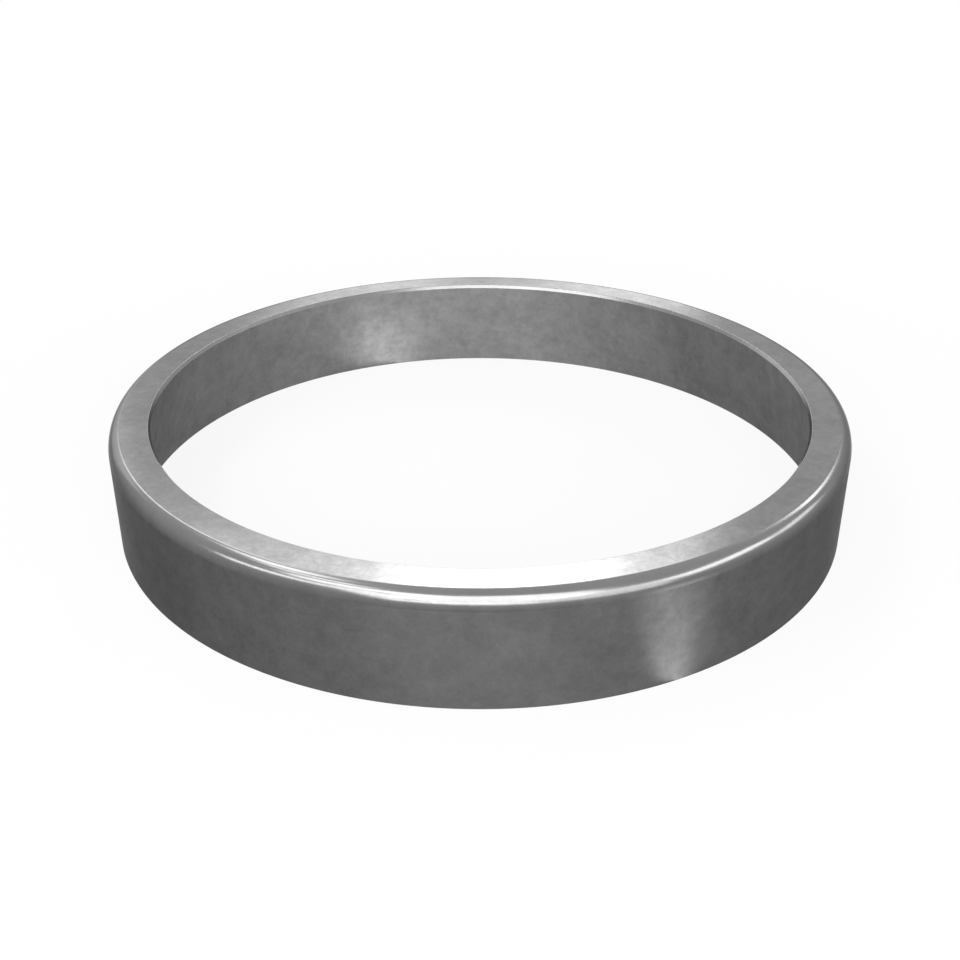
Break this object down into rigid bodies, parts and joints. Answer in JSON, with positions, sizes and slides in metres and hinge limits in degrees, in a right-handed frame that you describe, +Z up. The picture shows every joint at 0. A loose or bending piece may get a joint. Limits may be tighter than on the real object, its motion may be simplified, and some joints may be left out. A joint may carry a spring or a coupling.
{
  "type": "seamless rolled ring forging",
  "caption": "Seamless rolled steel ring, finish machined: cylindrical outer seat, tapered bore, flat end faces and one large rounded outer corner. Lies flat on its thin end.",
  "frame": {"origin": "on the ring's axis, in the plane of its bottom face, which is the thin end of the section", "axes": "+Z up along the ring's axis, towards the thick end with the large rounded corner; X and Y are free, because the ring is a body of revolution"},
  "size_m": [0.4064, 0.4064, 0.06],
  "materials": {
    "machined_steel": "turned and ground bearing steel, satin, with faint cloudy staining"
  },
  "bodies": {
    "root": {"rolled_ring": "machined_steel"}
  },
  "joints": []
}
